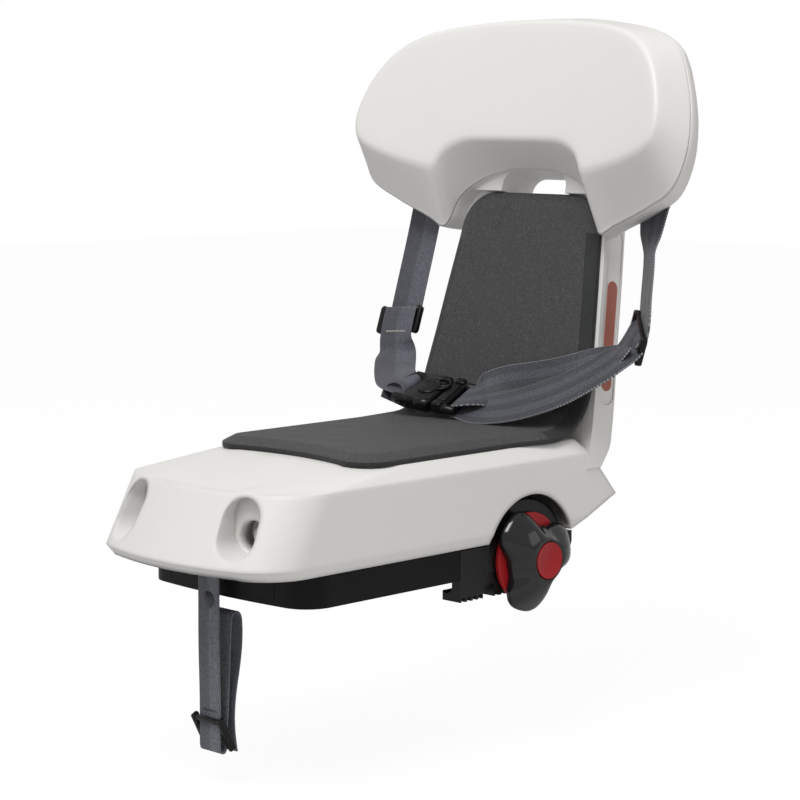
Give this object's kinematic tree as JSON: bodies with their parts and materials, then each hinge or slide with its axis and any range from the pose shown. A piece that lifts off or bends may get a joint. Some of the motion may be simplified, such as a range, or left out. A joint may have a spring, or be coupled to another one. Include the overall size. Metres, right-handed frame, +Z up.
{
  "type": "rear child bike seat",
  "caption": "Compact rack-mounted child bike seat: bowed seat shell, raked column with winged headrest, foam pad, harness, and a knob-driven jaw that grips a luggage rack.",
  "frame": {"origin": "centre of the width on the flat underside of the base tray, where it rests on the rack deck", "axes": "+Z up, -Y the way the child faces, +X the child's left, which is the side of the clamp knob"},
  "size_m": [0.3828, 0.5158, 0.5952],
  "materials": {
    "ivory_plastic": "satin warm off-white moulding",
    "black_plastic": "satin black moulding",
    "knob_plastic": "gloss black",
    "red_plastic": "satin red",
    "badge_plastic": "matt red-brown, left bare",
    "eva_foam": "matt speckled closed-cell foam",
    "webbing": "woven polyester webbing",
    "plated_steel": "zinc plated",
    "black_steel": "blackened",
    "brass_insert": "turned"
  },
  "bodies": {
    "frame": {"seat_shell": "ivory_plastic", "seat_pad": "eva_foam", "back_column": "ivory_plastic", "column_rear_cover": "ivory_plastic", "side_badge": "badge_plastic", "headrest_front": "ivory_plastic", "headrest_rear_cover": "ivory_plastic", "headrest_screws": "black_steel", "column_screws": "black_steel", "back_bracket": "plated_steel", "bracket_bolts": "plated_steel", "seat_bolts": "black_steel", "strap_anchor_pins": "plated_steel", "base_tray": "black_plastic", "tray_front_panel": "black_plastic", "jaw_fixed": "black_plastic", "jaw_screws": "black_steel", "clamp_screw": "plated_steel", "harness_strap_right": "webbing", "harness_strap_left": "webbing", "harness_slide_right": "black_plastic", "harness_slide_left": "black_plastic", "buckle_socket": "black_plastic", "buckle_plug": "black_plastic", "tether_strap": "webbing", "tether_snap": "black_steel", "tether_screw": "black_steel", "tether_slide": "black_plastic"},
    "jaw": {"jaw_moving": "black_plastic", "guide_pins": "plated_steel", "thrust_washer": "plated_steel"},
    "knob": {"knob_flange": "red_plastic", "knob_body": "knob_plastic", "knob_insert": "brass_insert", "knob_cap": "red_plastic"}
  },
  "joints": [
    {"name": "jaw_slide", "type": "slide", "parent": "frame", "child": "jaw", "axis": [1, 0, 0], "range_m": [0, 0.012]},
    {"name": "knob_turn", "type": "hinge", "parent": "jaw", "child": "knob", "pos_m": [0.115, 0.096, 0.0105], "axis": [1, 0, 0], "range_deg": [0, 2160]}
  ],
  "couplings": [
    {"joint": "jaw_slide", "follows": "knob_turn", "m_per_rad": 0.00031831}
  ]
}
